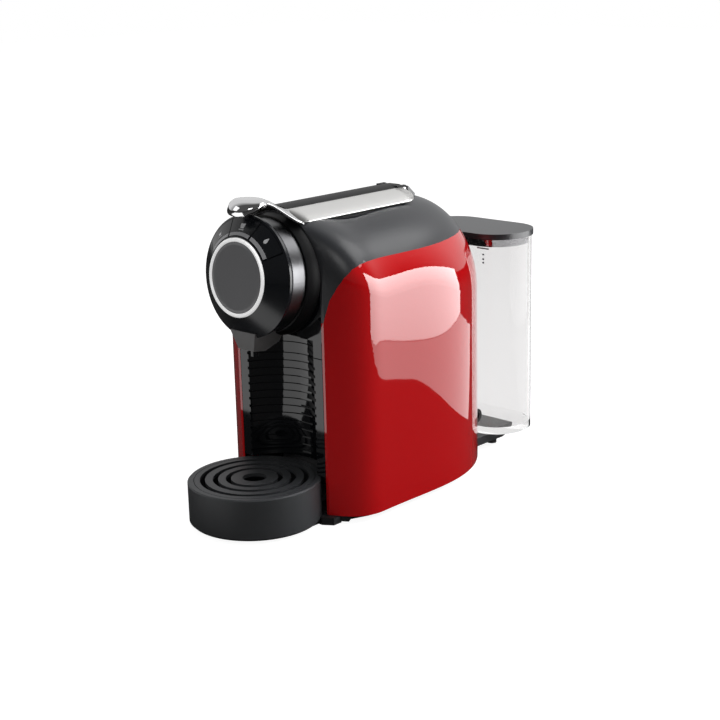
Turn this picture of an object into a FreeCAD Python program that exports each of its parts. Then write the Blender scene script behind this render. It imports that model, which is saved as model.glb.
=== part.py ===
import FreeCAD, Part
import Sketcher
import math
import os

# Pod coffee machine, in millimetres.  +Z is up, the dial faces -Y and X = 0 is the plane of symmetry.
# The origin is on the ground in the middle of the bounding box.

doc = FreeCAD.newDocument("pod_coffee_machine")
sheet = doc.addObject("Spreadsheet::Sheet", "Sizes")

SIZE_LIST = [
    # where the main groups sit, front to back
    ("front_y", -97.5, "front plane of the body"),
    ("rear_y", 102.0, "rear plane of the body"),
    ("tray_y", -131.0, "centre of the round drip tray"),
    # outer skin
    ("skin_wall", 2.4, "thickness of the shells and the cover"),
    ("front_half_width", 50.2, "half the width at the front edge"),
    ("side_half_width", 78.0, "half the width in the middle of the body"),
    ("cheek_length", 38.0, "length over which the front edge swells to the full width"),
    ("cheek_power", 3.2, "how soon the cheek reaches the full width"),
    ("rear_round_start", 5.0, "where the plan begins to round towards the rear"),
    ("rear_round_length", 115.0, "half axis of the rear rounding"),
    ("skin_bottom", 7.0, "lower edge of the shells"),
    ("arch_centre_z", 199.3, "centre of the round front arch"),
    ("shoulder_z", 184.0, "height where the shoulders start in the middle"),
    ("rear_shoulder_z", 162.0, "height where the shoulders start at the rear"),
    ("roof_z", 245.3, "top of the cover in the middle"),
    ("roof_drop_start", 46.0, "where the roof begins to fall to the rear"),
    ("roof_drop", 37.0, "how far the roof falls by the rear plane"),
    ("split_z", 212.5, "height of the line between cover and red shells"),
    ("split_front_z", 162.0, "where that line meets the front edge"),
    ("split_reach", 30.0, "length of the rounded front part of that line"),
    ("split_lean", 14.0, "how far into its bend that line starts"),
    # base
    ("base_bottom", 2.0, "underside of the base plate"),
    ("base_top", 9.0, "top of the base plate"),
    ("foot_radius", 9.0, "rubber foot"),
    ("tongue_radius", 46.0, "base tongue under the tray"),
    ("tongue_bottom", 0.8, "underside of the tongue"),
    ("tongue_top", 2.6, "top of the tongue"),
    ("toe_half_width", 58.0, "half the width of the toe in front of the shells"),
    ("toe_length", 8.0, "how far the toe stands in front of the shells"),
    ("slide_gap", 0.5, "running gap beside sliding pieces"),
    # drip tray, grille, niche and bin
    ("tray_radius", 54.0, "drip tray outside"),
    ("tray_bottom", 3.0, "underside of the tray"),
    ("tray_top", 37.2, "top of the tray rim"),
    ("tray_wall", 2.5, "wall of the tray"),
    ("grille_radius", 48.6, "drip grille outside"),
    ("grille_thick", 3.0, "drip grille plate"),
    ("grille_gap", 0.5, "gap between grille and tray"),
    ("grille_hole", 9.7, "centre hole of the grille"),
    ("ring_pitch", 10.4, "pitch of the ring slots"),
    ("ring_slot", 4.2, "width of a ring slot"),
    ("first_ring", 19.0, "inner radius of the first ring slot"),
    ("sled_bottom", 12.0, "underside of the sled behind the tray"),
    ("sled_top", 16.0, "top of the sled, where the bin stands"),
    ("sled_seat", 0.1, "gap left for glue between tray and sled"),
    ("bin_half_width", 34.0, "capsule bin"),
    ("bin_front", -66.0, "front wall of the bin"),
    ("bin_rear", -6.0, "rear wall of the bin"),
    ("bin_top", 118.0, "rim of the bin"),
    ("bin_wall", 2.0, "wall of the bin"),
    ("niche_half_width", 38.0, "half the width of the hollow in the niche panel"),
    ("niche_depth", 27.0, "depth of that hollow"),
    ("niche_bottom", 38.4, "lower edge of the niche panel"),
    ("niche_top", 135.6, "upper edge of the niche panel"),
    ("niche_wall", 2.6, "wall of the niche panel"),
    ("hood_gap", 0.8, "gap between panel and hood"),
    ("rib_pitch", 6.5, "pitch of the niche ribs"),
    ("rib_groove", 2.4, "height of a groove between ribs"),
    ("rib_depth", 1.3, "depth of a groove"),
    ("plate_bottom", 150.0, "lower edge of the front plate, the niche ceiling"),
    ("plate_thick", 4.0, "front plate"),
    # dial head, measured along its axis from the front plane
    ("dial_tilt", 5.0, "the dial looks up by this angle"),
    ("neck_radius", 45.0, "neck behind the drum"),
    ("neck_wall", 3.0, "wall of neck and drum"),
    ("neck_length", 27.0, "neck"),
    ("rim_radius", 48.3, "widest circle of the drum"),
    ("rim_height", 32.3, "where that circle sits"),
    ("face_height", 43.0, "inner edge of the bevelled face"),
    ("face_radius", 31.2, "inner radius of the bevelled face"),
    ("ring_inner", 28.0, "bright ring inside"),
    ("ring_proud", 1.6, "how far the bright ring stands out"),
    ("disc_dish", 1.0, "how far the disc lies below the ring"),
    ("button_thick", 4.0, "button depth"),
    ("button_inner", 32.6, "inner radius of the buttons"),
    ("button_outer", 46.4, "outer radius of the buttons"),
    ("button_span", 40.0, "angle from button to button"),
    ("button_gap_angle", 1.2, "angle left free between buttons"),
    ("button_gap", 0.4, "gap around a button"),
    ("button_travel", 1.5, "stroke of a button"),
    ("board_height", 22.0, "control board above the front plane"),
    ("board_thick", 1.6, "control board"),
    # spout
    ("spout_half_width", 12.0, "spout"),
    ("nozzle_radius", 3.2, "spout nozzle"),
    ("nozzle_y", -125.0, "spout nozzle"),
    ("nozzle_bottom", 137.4, "tip of the nozzle"),
    # lever
    ("lever_front", -96.0, "front end of the lever arms"),
    ("lever_half_width", 33.0, "lever"),
    ("lever_crown", 53.8, "radius of the lever's round back"),
    ("lever_gap", 0.7, "gap between lever and cover"),
    ("arm_inner", 12.5, "inner edge of a silver arm"),
    ("arm_thick", 2.0, "silver arm"),
    ("arm_seat", 0.15, "gap left for glue between arm and core"),
    ("hinge_y", 43.0, "lever hinge"),
    ("hinge_z", 249.3, "lever hinge"),
    ("hinge_round", 3.6, "round end of the lever core about its hinge"),
    ("pin_radius", 1.5, "hinge pin"),
    ("pin_fit", 0.05, "running fit of the pin"),
    ("lug_inner", 6.0, "inner face of a hinge lug"),
    ("lug_thick", 4.0, "hinge lug"),
    ("lug_gap", 0.6, "gap beside a lug"),
    ("crank_length", 20.0, "crank under the hinge"),
    ("crank_angle", 37.5, "crank angle at rest, behind straight down"),
    ("crank_half_width", 2.5, "crank"),
    ("crank_pin", 2.0, "crank pin"),
    ("crank_play", 0.7, "play of the crank pin in its slot"),
    ("paddle_y", -127.0, "middle of the paddle"),
    ("paddle_half_width", 20.0, "paddle"),
    ("paddle_half_depth", 13.0, "paddle"),
    ("paddle_top", 263.0, "front lip of the paddle"),
    ("paddle_thick", 2.2, "paddle and bands"),
    ("band_width", 7.0, "band between arm and paddle"),
    # brewing unit
    ("brew_z", 175.0, "axis of the brew cup"),
    ("cup_radius", 24.0, "brew cup outside"),
    ("cup_bore", 19.0, "brew cup inside"),
    ("cup_rear", -13.0, "open end of the cup, closed pose"),
    ("cup_length", 32.0, "brew cup"),
    ("rail_inner", 32.0, "inner face of a carriage rail"),
    ("rail_width", 6.0, "carriage rail"),
    ("rail_bottom", 196.0, "carriage rail"),
    ("rail_height", 7.0, "carriage rail"),
    ("rail_end", 70.0, "rear end of the rails"),
    ("frame_plate", 42.0, "inner face of a frame plate"),
    ("frame_thick", 3.0, "frame plate"),
    ("frame_front", -84.0, "frame plates"),
    ("frame_rear", 74.0, "frame plates"),
    ("frame_top", 214.0, "frame plates"),
    ("shelf_top", 146.0, "shelf under the thermoblock"),
    ("block_half_width", 26.0, "thermoblock"),
    ("block_front", -5.0, "thermoblock"),
    ("block_rear", 46.0, "thermoblock"),
    ("block_top", 206.0, "thermoblock"),
    ("injector_thick", 4.0, "injector plate"),
    ("chute_half_width", 21.0, "capsule chute inside"),
    ("chute_front", -42.0, "capsule chute inside"),
    ("chute_rear", -9.0, "capsule chute inside"),
    # pump side
    ("pump_radius", 20.0, "pump"),
    ("pump_front", 6.0, "pump"),
    ("pump_length", 62.0, "pump"),
    ("pump_x", -18.0, "pump axis"),
    ("pump_z", 44.0, "pump axis"),
    ("meter_x", 24.0, "flow meter"),
    ("meter_y", 40.0, "flow meter"),
    ("meter_radius", 11.0, "flow meter"),
    ("meter_height", 23.0, "flow meter"),
    ("hose_radius", 3.0, "hoses"),
    ("hose_bend", 8.0, "bend radius of the hoses"),
    ("hose_crest", 82.0, "height of the hose over the pump"),
    ("stub_z", 14.0, "axis of the dock's water stub"),
    ("stub_length", 8.0, "how far the stub reaches into the body"),
    # tank
    ("tank_front", 121.5, "front wall of the tank"),
    ("tank_rear", 183.5, "rear wall of the tank"),
    ("tank_half_width", 55.0, "tank"),
    ("tank_round", 29.0, "corner radius of the tank"),
    ("tank_bottom", 16.0, "underside of the tank"),
    ("tank_top", 195.5, "rim of the tank"),
    ("tank_wall", 2.2, "tank wall"),
    ("tank_floor", 6.0, "tank floor"),
    ("lid_over", 1.5, "how far the lid stands over the tank"),
    ("lid_thick", 5.0, "lid plate"),
    ("lid_gap", 0.4, "gap under the lid and beside its band"),
    ("band_height", 7.0, "rim band under the lid"),
    ("dock_half_width", 37.0, "dock"),
    ("dock_rear", 160.0, "dock"),
    ("dock_bottom", 8.0, "dock underside at the rear panel"),
    ("dock_top", 15.4, "dock top"),
    ("valve_y", 140.0, "tank valve"),
    ("valve_radius", 7.0, "tank valve"),
    ("valve_depth", 4.0, "how far the valve reaches into the dock"),
    # cord gland on the rear panel, turned to the side because the tank stands behind it
    ("gland_x", 22.0, "cord gland on the rear panel"),
    ("gland_z", 36.0, "cord gland on the rear panel"),
    ("gland_radius", 6.0, "cord gland outside"),
    ("gland_collar", 8.5, "collar of the cord gland"),
    ("cord_bore", 3.6, "bore for the cord"),
    ("cord_out", 9.0, "how far behind the rear panel the cord runs out"),
    ("core_bore", 3.2, "bore inside the gland, for the stripped cord"),
    ("sleeve_radius", 6.6, "sideways sleeve outside"),
    ("sleeve_reach", 13.0, "length of the sideways sleeve"),
]


class Size:
    """A number together with the sheet expression that gives it."""

    def __init__(self, value, text):
        self.value = value
        self.text = text

    def __add__(self, other):
        return Size(self.value + number(other), "(%s + %s)" % (self.text, words(other)))

    def __radd__(self, other):
        return self + other

    def __sub__(self, other):
        return Size(self.value - number(other), "(%s - %s)" % (self.text, words(other)))

    def __rsub__(self, other):
        return Size(number(other) - self.value, "(%s - %s)" % (words(other), self.text))

    def __mul__(self, other):
        return Size(self.value * number(other), "(%s * %s)" % (self.text, words(other)))

    def __rmul__(self, other):
        return self * other

    def __truediv__(self, other):
        return Size(self.value / number(other), "(%s / %s)" % (self.text, words(other)))

    def __neg__(self):
        return Size(-self.value, "(0 - %s)" % self.text)


def number(value):
    return value.value if isinstance(value, Size) else float(value)


def words(value):
    if isinstance(value, Size):
        return value.text
    return "%.6g" % value if value >= 0 else "(0 - %.6g)" % -value


class Sizes:
    """Every named size of the sheet, as attributes."""


def fill_sheet():
    """Write the list into the sheet and hand the sizes back as attributes."""
    sizes = Sizes()
    for row, (alias, value, meaning) in enumerate(SIZE_LIST, start=1):
        sheet.set("A%d" % row, meaning)
        sheet.set("B%d" % row, str(value))
        sheet.setAlias("B%d" % row, alias)
        setattr(sizes, alias, Size(value, "Sizes.%s" % alias))
    doc.recompute()
    return sizes


s = fill_sheet()
nodes = []


# Small makers, each bound to the sheet

def bind(thing, prop, value):
    """Bind one property to a size, or set it when it is a plain number."""
    if isinstance(value, Size):
        thing.setExpression(prop, value.text)
        return
    thing.setExpression(prop, words(value))


def place(thing, x=0, y=0, z=0):
    for axis, value in (("x", x), ("y", y), ("z", z)):
        bind(thing, "Placement.Base." + axis, value)


def block(name, x_span, y_span, z_span):
    """A box given by its two ends on each axis."""
    box = doc.addObject("Part::Box", name)
    bind(box, "Length", x_span[1] - x_span[0])
    bind(box, "Width", y_span[1] - y_span[0])
    bind(box, "Height", z_span[1] - z_span[0])
    place(box, x_span[0], y_span[0], z_span[0])
    return box


TURNS = {
    "x": FreeCAD.Rotation(FreeCAD.Vector(0, 1, 0), 90),
    "y": FreeCAD.Rotation(FreeCAD.Vector(1, 0, 0), -90),
    "z": FreeCAD.Rotation(),
}


def rod(name, radius, length, start, axis="z"):
    """A cylinder that starts at a point and runs along an axis."""
    cylinder = doc.addObject("Part::Cylinder", name)
    cylinder.Placement = FreeCAD.Placement(FreeCAD.Vector(), TURNS[axis])
    bind(cylinder, "Radius", radius)
    bind(cylinder, "Height", length)
    place(cylinder, *start)
    return cylinder


def fuse(name, *parts):
    joined = doc.addObject("Part::MultiFuse", name)
    joined.Shapes = list(parts)
    joined.Refine = True
    return joined


def cut(name, base, *tools):
    tool = tools[0] if len(tools) == 1 else fuse(name + "_tools", *tools)
    less = doc.addObject("Part::Cut", name)
    less.Base = base
    less.Tool = tool
    less.Refine = True
    return less


def common(name, first, second):
    both = doc.addObject("Part::Common", name)
    both.Base = first
    both.Tool = second
    both.Refine = True
    return both


def mirrored(name, source):
    """The twin of a piece on the other side of X = 0."""
    twin = doc.addObject("Part::Mirroring", name)
    twin.Source = source
    twin.Normal = FreeCAD.Vector(1, 0, 0)
    return twin


def outline(body, name, plane, points, offset=0):
    """A closed polygon sketch whose corners are all bound to the sheet."""
    sketch = body.newObject("Sketcher::SketchObject", name)
    support = [item for item in body.Origin.OriginFeatures if item.Role == plane][0]
    sketch.AttachmentSupport = [(support, "")]
    sketch.MapMode = "FlatFace"
    if isinstance(offset, Size) or offset:
        bind(sketch, "AttachmentOffset.Base.z", offset)
    corners = [FreeCAD.Vector(number(u), number(v), 0) for u, v in points]
    count = len(corners)
    for index in range(count):
        sketch.addGeometry(Part.LineSegment(corners[index], corners[(index + 1) % count]))
    for index in range(count):
        sketch.addConstraint(Sketcher.Constraint("Coincident", index, 2, (index + 1) % count, 1))
    for index, (u, v) in enumerate(points):
        for kind, axis, value in (("DistanceX", -2, u), ("DistanceY", -1, v)):
            if abs(number(value)) < 1e-9:
                sketch.addConstraint(Sketcher.Constraint("PointOnObject", index, 1, axis))
                continue
            rule = sketch.addConstraint(Sketcher.Constraint(kind, -1, 1, index, 1, number(value)))
            sketch.setExpression("Constraints[%d]" % rule, words(value))
    return sketch


def turned(name, points, angle=360):
    """A body turned about its own Z axis from (radius, height) corners."""
    body = doc.addObject("PartDesign::Body", name)
    sketch = outline(body, name + "_outline", "XZ_Plane", points)
    turn = body.newObject("PartDesign::Revolution", name + "_turn")
    turn.Profile = sketch
    turn.ReferenceAxis = (sketch, ["V_Axis"])
    turn.Midplane = angle != 360
    bind(turn, "Angle", angle)
    sketch.Visibility = False
    return body


def padded(name, plane, points, length, offset=0, both_ways=True):
    """A body padded from a polygon, by default to both sides of its plane."""
    body = doc.addObject("PartDesign::Body", name)
    sketch = outline(body, name + "_outline", plane, points, offset)
    pad = body.newObject("PartDesign::Pad", name + "_pad")
    pad.Profile = sketch
    pad.Midplane = both_ways
    bind(pad, "Length", length)
    sketch.Visibility = False
    return body


def free_form(name, shape):
    """A shape with no primitive of its own; its sizes come from the sheet."""
    feature = doc.addObject("Part::Feature", name)
    feature.Shape = shape
    return feature


def node(label, thing):
    """Name one finished piece of the machine."""
    thing.Label = label
    nodes.append((label, thing))
    return thing


def rounded_block(name, x_span, y_span, z_span, radius):
    """A box with rounded upright edges."""
    parts = [
        block(name + "_wide", x_span, (y_span[0] + radius, y_span[1] - radius), z_span),
        block(name + "_deep", (x_span[0] + radius, x_span[1] - radius), y_span, z_span),
    ]
    for x in (x_span[0] + radius, x_span[1] - radius):
        for y in (y_span[0] + radius, y_span[1] - radius):
            parts.append(rod(name + "_corner", radius, z_span[1] - z_span[0], (x, y, z_span[0])))
    return fuse(name, *parts)


def hose(name, points, radius, bend):
    """A round hose of straight runs joined by bends, one bend at each inner corner."""
    radius, bend = number(radius), number(bend)
    corners = [FreeCAD.Vector(*[number(value) for value in point]) for point in points]
    pieces = []
    start = corners[0]
    for corner, after in zip(corners[1:], corners[2:]):
        heading = (corner - start).normalize()
        turning = (after - corner).normalize()
        angle = heading.getAngle(turning)
        reach = bend * math.tan(angle / 2)
        leave = corner - heading * reach
        pieces.append(Part.makeCylinder(radius, (leave - start).Length, start, heading))
        axis = heading.cross(turning).normalize()
        centre = leave + axis.cross(heading) * bend
        disc = Part.Face(Part.Wire(Part.makeCircle(radius, leave, heading)))
        pieces.append(disc.revolve(centre, axis, math.degrees(angle)))
        start = corner + turning * reach
    run = corners[-1] - start
    pieces.append(Part.makeCylinder(radius, run.Length, start, run))
    return free_form(name, pieces[0].multiFuse(pieces[1:]).removeSplitter())


# Outer skin: arched sections lofted from front to rear

def swell_at(y):
    """0 at the front edge, 1 where the cheek has reached the full width."""
    return min(1.0, max(0.0, (y - s.front_y.value) / s.cheek_length.value))


def half_width_at(y):
    gain = 1 - (1 - swell_at(y)) ** s.cheek_power.value
    wide = s.front_half_width.value + (s.side_half_width.value - s.front_half_width.value) * gain
    back = max(0.0, (y - s.rear_round_start.value) / s.rear_round_length.value)
    return wide * math.sqrt(1 - back * back)


def roof_at(y):
    arch_top = s.arch_centre_z.value + s.front_half_width.value
    level = arch_top + (s.roof_z.value - arch_top) * swell_at(y)
    back = max(0.0, y - s.roof_drop_start.value) / (s.rear_y.value - s.roof_drop_start.value)
    return level - s.roof_drop.value * back * back


def shoulder_at(y):
    level = s.arch_centre_z.value + (s.shoulder_z.value - s.arch_centre_z.value) * swell_at(y)
    back = min(1.0, max(0.0, (y - 15.0) / 40.0))
    return level + (s.rear_shoulder_z.value - s.shoulder_z.value) * back


def quarter_arch(start, corner, end):
    """A quarter of an ellipse between two points, given the corner of its box."""
    curve = Part.BezierCurve()
    curve.setPoles([start, corner, end])
    curve.setWeight(2, math.sqrt(0.5))
    return curve.toShape()


def full_section(y, grow, bottom):
    """One closed section of the body: two upright sides under an arch."""
    half = half_width_at(y) + grow
    foot = shoulder_at(y)
    top = roof_at(y) + grow
    low_right, low_left = FreeCAD.Vector(half, y, bottom), FreeCAD.Vector(-half, y, bottom)
    foot_right, foot_left = FreeCAD.Vector(half, y, foot), FreeCAD.Vector(-half, y, foot)
    crown = FreeCAD.Vector(0, y, top)
    return Part.Wire([
        Part.makeLine(low_right, foot_right),
        quarter_arch(foot_right, FreeCAD.Vector(half, y, top), crown),
        quarter_arch(crown, FreeCAD.Vector(-half, y, top), foot_left),
        Part.makeLine(foot_left, low_left),
        Part.makeLine(low_left, low_right),
    ])


def skin_body(name, grow, bottom, overrun):
    """The body, grown or shrunk by a wall, lofted through sections from front to rear."""
    front = s.front_y.value
    cheek_end = front + s.cheek_length.value
    stations = [front + s.cheek_length.value * part for part in (0.0, 0.15, 0.35, 0.62, 1.0)]
    for part in (0.3, 0.6, 0.8, 1.0):
        stations.append(cheek_end + (s.rear_y.value - cheek_end) * part)
    stations[0] -= overrun
    stations[-1] += overrun
    sections = []
    for y in stations:
        sections.append(free_form(name + "_section", full_section(y, grow, bottom)))
    loft = doc.addObject("Part::Loft", name)
    loft.Sections = sections
    loft.Solid = True
    loft.Ruled = False
    return loft


def split_prism():
    """All that lies above the line between the dark cover and the red shells."""
    front = s.front_y.value
    low = s.split_front_z.value
    high = s.split_z.value
    lean = math.radians(s.split_lean.value)
    bend = []
    for step in range(9):
        angle = lean + (math.pi / 2 - lean) * step / 8
        bend.append(FreeCAD.Vector(
            -150,
            front + s.split_reach.value * (1 - math.cos(angle) / math.cos(lean)),
            low + (high - low) * (math.sin(angle) - math.sin(lean)) / (1 - math.sin(lean)),
        ))
    curve = Part.BSplineCurve()
    curve.interpolate(Points=bend)
    rear = s.rear_y.value + 5
    corners = [
        bend[-1],
        FreeCAD.Vector(-150, rear, high),
        FreeCAD.Vector(-150, rear, 300),
        FreeCAD.Vector(-150, front - 5, 300),
        FreeCAD.Vector(-150, front - 5, low),
        bend[0],
    ]
    edges = [curve.toShape()]
    for first, second in zip(corners, corners[1:]):
        edges.append(Part.makeLine(first, second))
    face = Part.Face(Part.Wire(edges))
    return free_form("split_prism", face.extrude(FreeCAD.Vector(300, 0, 0)))


outside = skin_body("outside", 0.0, s.skin_bottom.value, 0.0)
inside = skin_body("inside", -s.skin_wall.value, 0.0, 0.0)
above_split = split_prism()


def make_shells_and_cover():
    lower = cut("red_skin", cut("red_body", outside, above_split), inside)
    right = common("right_half", lower, block("right_room", (0, 150), (s.front_y - 5, s.rear_y + 5), (0, 300)))
    node("right_side_shell", right)
    node("left_side_shell", mirrored("left_half", right))
    upper = cut("dark_skin", common("dark_body", outside, above_split), inside)
    capsule_slot = block(
        "capsule_slot",
        (-s.chute_half_width, s.chute_half_width),
        (s.chute_front, s.chute_rear),
        (s.frame_top, s.roof_z + 20),
    )
    crank_slot = block(
        "crank_slot",
        (-s.crank_half_width - s.lug_gap, s.crank_half_width + s.lug_gap),
        (s.hinge_y - 11, s.hinge_y + 11),
        (s.frame_top, s.roof_z + 20),
    )
    node("top_cover", cut("cover", upper, capsule_slot, crank_slot))


def make_base():
    plate = common("base_plate", inside, block(
        "base_room", (-150, 150), (s.front_y + 0.5, s.rear_y - 0.5), (s.base_bottom, s.base_top)))
    tongue = rod("tongue", s.tongue_radius, s.tongue_top - s.tongue_bottom, (0, s.tray_y, s.tongue_bottom))
    neck = block("tongue_neck", (-s.tongue_radius, s.tongue_radius), (s.tray_y, s.front_y + 6),
                 (s.tongue_bottom, s.tongue_top))
    toe = padded("toe", "XY_Plane", [
        (-s.toe_half_width, s.front_y + 6),
        (-s.toe_half_width, s.front_y - s.toe_length / 3),
        (-s.toe_half_width + s.toe_length, s.front_y - s.toe_length),
        (s.toe_half_width - s.toe_length, s.front_y - s.toe_length),
        (s.toe_half_width, s.front_y - s.toe_length / 3),
        (s.toe_half_width, s.front_y + 6),
    ], s.skin_bottom - s.tongue_bottom, s.tongue_bottom, False)
    room = rod("tray_room", s.tray_radius + s.slide_gap, 60, (0, s.tray_y, s.tongue_top))
    node("base_chassis", cut("chassis", fuse("base_all", plate, tongue, neck, toe), room))
    feet = [rod("front_foot", s.foot_radius, s.tongue_bottom, (0, s.tray_y - 22, 0))]
    for x in (-48, 48):
        for y in (s.front_y + 20, s.rear_y - 42):
            feet.append(rod("foot", s.foot_radius, s.base_bottom, (x, y, 0)))
        feet.append(rod("dock_foot", s.foot_radius / 2, s.dock_bottom, (x * 0.5, s.valve_y + 6, 0)))
    node("rubber_feet", fuse("feet", *feet))
    screws = []
    for x in (-56, 56):
        for y in (-40, 30):
            screws.append(rod("screw", 3.2, 0.8, (x, y, s.base_bottom - 0.8)))
    node("case_screws", fuse("screws", *screws))


# Drawer: tray, grille, niche panel and capsule bin

def make_drawer():
    lip = s.grille_radius + s.grille_gap
    ledge_z = s.tray_top - s.grille_thick - s.grille_gap
    well = s.grille_radius - 2.5
    dish = turned("tray_dish", [
        (0, s.tray_bottom),
        (s.tray_radius - 2, s.tray_bottom),
        (s.tray_radius, s.tray_bottom + 2),
        (s.tray_radius, s.tray_top - 1),
        (s.tray_radius - 1, s.tray_top),
        (lip, s.tray_top),
        (lip, ledge_z),
        (well, ledge_z),
        (well, s.tray_bottom + s.tray_wall),
        (0, s.tray_bottom + s.tray_wall),
    ])
    place(dish, 0, s.tray_y, 0)
    node("drip_tray", dish)
    sled = block("sled", (-s.bin_half_width, s.bin_half_width), (s.tray_y, s.bin_rear),
                 (s.sled_bottom, s.sled_top))
    sled_trim = rod("sled_trim", s.tray_radius + s.sled_seat, 60, (0, s.tray_y, 0))
    node("drawer_sled", cut("sled_cut", sled, sled_trim))
    outer = block("bin_outer", (-s.bin_half_width, s.bin_half_width), (s.bin_front, s.bin_rear),
                  (s.sled_top, s.bin_top))
    room = block("bin_room", (-s.bin_half_width + s.bin_wall, s.bin_half_width - s.bin_wall),
                 (s.bin_front + s.bin_wall, s.bin_rear - s.bin_wall), (s.sled_top + s.bin_wall, s.bin_top + 5))
    node("capsule_bin", cut("bin", outer, room))


def make_grille():
    bottom = s.tray_top - s.grille_thick
    disc = rod("grille_disc", s.grille_radius, s.grille_thick, (0, s.tray_y, bottom))
    slots = [rod("grille_eye", s.grille_hole, 20, (0, s.tray_y, bottom - 5))]
    for index in range(3):
        inner = s.first_ring + s.ring_pitch * index
        wide = rod("slot_outer", inner + s.ring_slot, 20, (0, s.tray_y, bottom - 5))
        slots.append(cut("ring_slot", wide, rod("slot_inner", inner, 30, (0, s.tray_y, bottom - 10))))
    rings = cut("grille_rings", disc, *slots)
    reach = s.grille_radius - 1.5
    bars = [
        block("bar_across", (-reach, reach), (s.tray_y - 2, s.tray_y + 2), (bottom, bottom + 1.2)),
        block("bar_along", (-2, 2), (s.tray_y - reach, s.tray_y + reach), (bottom, bottom + 1.2)),
    ]
    eye = rod("bar_eye", s.grille_hole, 20, (0, s.tray_y, bottom - 5))
    node("drip_grille", fuse("grille", rings, cut("bars", fuse("bars_all", *bars), eye)))


def niche_shape(name, bottom, top, grooves):
    """A flat front with a round hollow, thin behind, between two heights."""
    radius = (s.niche_half_width * s.niche_half_width + s.niche_depth * s.niche_depth) / (s.niche_depth * 2)
    axis_y = s.front_y + s.niche_depth - radius
    half = s.front_half_width - s.skin_wall - s.slide_gap
    height = top - bottom
    strip = block(name + "_strip", (-half, half), (s.front_y, s.front_y + s.niche_wall), (bottom, top))
    back = rod(name + "_back", radius + s.niche_wall, height, (0, axis_y, bottom))
    room = block(name + "_room", (-half, half), (s.front_y, s.front_y + 80), (bottom, top))
    solid = common(name + "_solid", fuse(name + "_full", strip, back), room)
    tools = [rod(name + "_hollow", radius, height + 20, (0, axis_y, bottom - 10))]
    for index in range(grooves):
        level = bottom + s.rib_pitch * (index + 0.5)
        tools.append(rod(name + "_groove", radius + s.rib_depth, s.rib_groove, (0, axis_y, level)))
    return cut(name, solid, *tools)


def make_niche():
    panel = niche_shape("niche", s.niche_bottom, s.niche_top, 14)
    boss = block("niche_boss", (-11, 11), (s.front_y + s.niche_depth + 0.8, s.bin_front), (60, 110))
    node("cup_niche_panel", fuse("panel", panel, boss))
    node("niche_hood", niche_shape("hood", s.niche_top + s.hood_gap, s.plate_bottom, 0))


# Front plate and dial head

def head_placement(turn=0.0):
    """Local Z runs out along the dial axis, local Y runs up."""
    base = FreeCAD.Vector(0, s.front_y.value, s.arch_centre_z.value)
    tilt = FreeCAD.Rotation(FreeCAD.Vector(1, 0, 0), 90 - s.dial_tilt.value)
    spin = FreeCAD.Rotation(FreeCAD.Vector(0, 0, 1), turn)
    return FreeCAD.Placement(base, tilt.multiply(spin))


def on_head(body, turn=0.0):
    body.Placement = head_placement(turn)
    return body


def bevel_height(radius):
    """Height of the bevelled drum face at a radius."""
    slope = (s.face_height - s.rim_height) / (s.rim_radius - s.face_radius)
    return s.rim_height + (s.rim_radius - radius) * slope


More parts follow.
